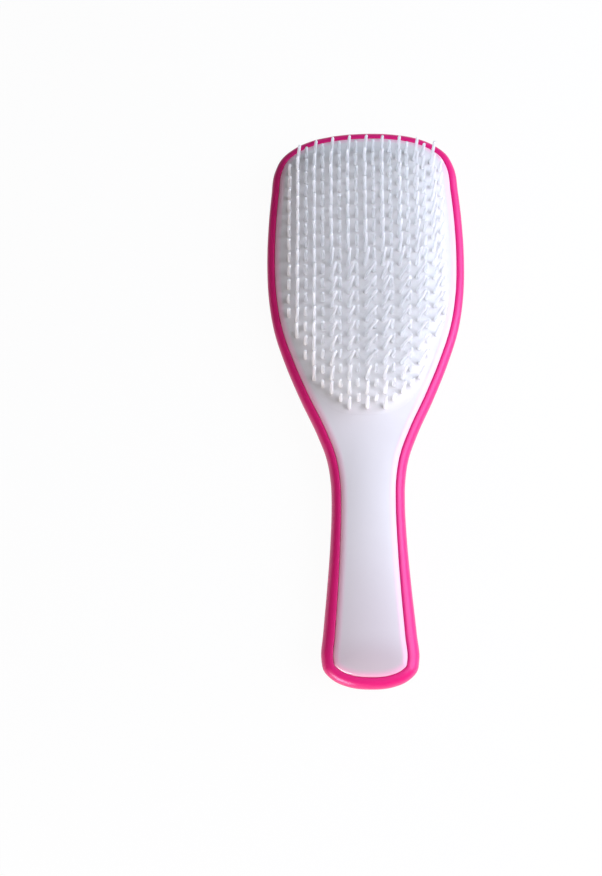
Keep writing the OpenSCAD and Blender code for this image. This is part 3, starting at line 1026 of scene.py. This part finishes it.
    def _bristles(self) -> tuple[bmesh.types.BMesh, int]:
        """Returns all the bristles as closed tapered strands, and their number."""
        draw = random.Random(self.seed)
        mesh = bmesh.new()
        kinds = {Tier.SHORT: self.short, Tier.LONG: self.long}
        templates = {tier: kind.template(mesh) for tier, kind in kinds.items()}
        count = 0
        for tier, root, lean in self._roots():
            stray = Vector((draw.uniform(-1, 1), draw.uniform(-1, 1))) * self.wobble
            verts = templates[tier]
            edges = dict.fromkeys(e for v in verts for e in v.link_edges)
            faces = dict.fromkeys(f for v in verts for f in v.link_faces)
            made = bmesh.ops.duplicate(mesh, geom=[*verts, *edges, *faces])["geom"]
            z = self.form.face_z(root)
            for vert in (item for item in made if isinstance(item, bmesh.types.BMVert)):
                rise = max(0.0, vert.co.z / kinds[tier].height) ** self.lean_power
                vert.co += Vector((root.x + (lean + stray.x) * rise, root.y + stray.y * rise, z))
            count += 1
        used = [vert for verts in templates.values() for vert in verts]
        bmesh.ops.delete(mesh, geom=used, context="VERTS")
        bmesh.ops.recalc_face_normals(mesh, faces=mesh.faces)
        return mesh, count

    def recess(self) -> bmesh.types.BMesh:
        """Returns the space that the pad needs in the plate."""
        return self.layer(self.gap, self.depth + self.gap, self.recess_rise)

    def build(self) -> bpy.types.Object:
        """Builds the pad with its bristles and dresses it.

        Returns:
            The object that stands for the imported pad.
        """
        piece = as_object("bristle_pad_soft", self.layer(0, self.depth, 0))
        bristles, count = self._bristles()
        combine(piece, bristles, Join.ADD)
        shade(piece, self.sharp_deg)
        full = self.long.height
        add_values(piece, "rise", lambda co: max(0.0, (co.z - self.form.face_z(co.xy)) / full))
        near = nearest(self._edge(0))
        # distance inside the pad's edge, over which the slab's painted light grows
        add_values(piece, "heart", lambda co: min(1.0, near(co) / self.edge_fade))
        piece.data.materials.append(BRISTLE_WHITE.material())
        log.info("%d bristles", count)
        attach(piece, "root")
        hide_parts("bristle_pad")
        return piece


@dataclass(frozen=True)
class SoftLamp:
    """A large square lamp of soft studio light."""

    name: str
    place: tuple[float, float, float]
    aim: tuple[float, float, float]
    side: float
    watts: float
    color: Rgb

    def build(self) -> None:
        """Adds the lamp to the scene."""
        lamp = bpy.data.lights.new(self.name, "AREA")
        lamp.shape = "SQUARE"
        lamp.size = self.side
        lamp.energy = self.watts
        lamp.color = self.color
        holder = bpy.data.objects.new(self.name, lamp)
        holder.location = self.place
        beam = Vector(self.aim) - Vector(self.place)
        holder.rotation_euler = beam.to_track_quat("-Z", "Y").to_euler()
        bpy.context.scene.collection.objects.link(holder)


@dataclass
class Studio:
    """White floor, soft lamps and the camera of the photograph."""

    camera_place: tuple[float, float, float] = (-7.287 * MM, -87.64 * MM, 332.15 * MM)
    camera_right: tuple[float, float, float] = (0.99840847, 0.00361813, -0.05628003)
    camera_up: tuple[float, float, float] = (0.00823984, 0.97787235, 0.20904011)
    lens_mm: float = 34.93
    sensor_mm: float = 36.0
    clip_near: float = 10 * MM
    floor_side: float = 6.0
    floor_white: float = 0.82
    seen_share: float = 0.96
    world_color: Rgba = (1.0, 0.96, 0.98, 1.0)
    world_strength: float = 0.09
    lamps: Sequence[SoftLamp] = (
        SoftLamp("window", place=(0.42, -0.08, 0.33), aim=(0.0, 0.02, 0.01),
                 side=0.56, watts=4.8, color=(0.85, 0.82, 0.99)),
        SoftLamp("sky", place=(0.50, 0.24, 0.26), aim=(0.0, 0.02, 0.01),
                 side=0.36, watts=1.5, color=(0.52, 0.80, 1.0)),
        SoftLamp("front", place=(-0.14, -0.38, 0.03), aim=(0.0, -0.09, 0.01),
                 side=0.14, watts=1.2, color=(1.0, 0.88, 0.84)),
        SoftLamp("ceiling", place=(0.15, -0.1, 1.1), aim=(0.0, 0.0, 0.0),
                 side=1.2, watts=1.8, color=(1.0, 0.99, 0.97)),
    )

    def floor(self) -> None:
        """Adds the white floor, which the camera sees nearly unlit, with a faint shadow."""
        mesh = bmesh.new()
        bmesh.ops.create_grid(mesh, x_segments=1, y_segments=1, size=self.floor_side / 2)
        piece = as_object("floor", mesh)
        made = bpy.data.materials.new("floor_white")
        made.use_nodes = True
        made.node_tree.nodes.clear()
        shader = Shader(made.node_tree)
        white = (self.floor_white, self.floor_white, self.floor_white, 1.0)
        matt = shader.node("BsdfDiffuse", {"Color": white})
        glow = shader.node("Emission", {"Color": (1.0, 1.0, 1.0, 1.0), "Strength": 1.0})
        path = shader.node("LightPath").outputs
        seen = shader.sum(shader.sum(path["Is Camera Ray"], path["Is Glossy Ray"]),
                          path["Is Transmission Ray"])
        share = shader.math("MULTIPLY", seen, self.seen_share, clamp=True)
        both = shader.node("MixShader")
        shader.fill(both.inputs, (share, matt.outputs[0], glow.outputs[0]))
        shader.node("OutputMaterial", {"Surface": both.outputs[0]})
        piece.data.materials.append(made)
        piece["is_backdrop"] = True

    def world(self) -> None:
        """Gives the scene a plain pale world."""
        world = bpy.data.worlds.new("studio")
        world.use_nodes = True
        back = world.node_tree.nodes["Background"]
        back.inputs["Color"].default_value = self.world_color
        back.inputs["Strength"].default_value = self.world_strength
        bpy.context.scene.world = world
        bpy.context.scene.view_settings.view_transform = "Standard"

    def camera(self) -> None:
        """Adds the camera at the photograph's place."""
        lens = bpy.data.cameras.new("camera")
        lens.sensor_fit = "VERTICAL"
        lens.sensor_height = self.sensor_mm
        lens.lens = self.lens_mm
        lens.clip_start = self.clip_near
        right, up = Vector(self.camera_right), Vector(self.camera_up)
        turn = Matrix((right, up, right.cross(up))).transposed()
        holder = bpy.data.objects.new("camera", lens)
        holder.matrix_world = Matrix.Translation(self.camera_place) @ turn.to_4x4()
        bpy.context.scene.collection.objects.link(holder)
        bpy.context.scene.camera = holder

    def build(self) -> None:
        """Adds the camera, the lamps, the floor and the world."""
        self.camera()
        for lamp in self.lamps:
            lamp.build()
        self.floor()
        self.world()


def brush_form() -> BrushForm:
    """Returns the form of the brush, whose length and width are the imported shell's."""
    low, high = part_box("back_shell")
    return BrushForm(overall_len=high.y - low.y, head_w=high.x - low.x)


def write_sizes() -> None:
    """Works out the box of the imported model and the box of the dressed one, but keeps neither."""
    boxes = {name: [list(corner) for corner in box]
             for name, box in (("cad", cad_bounds), ("visual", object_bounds()))}


def report(piece: bpy.types.Object) -> None:
    """Logs the name and the number of faces of a finished piece."""
    log.info("%s: %d faces", piece.name, len(piece.data.polygons))


def main() -> None:
    """Builds the studio, then the shell, the plate and the bristle pad."""
    logging.basicConfig(level=logging.INFO, format="%(name)s %(message)s")
    Studio().build()
    form = brush_form()
    pad = BristlePad(form)
    report(BackShell(form).build())
    report(FrontPlate(form).build(pad.recess()))
    report(pad.build())
    write_sizes()


if __name__ == "__main__":
    main()
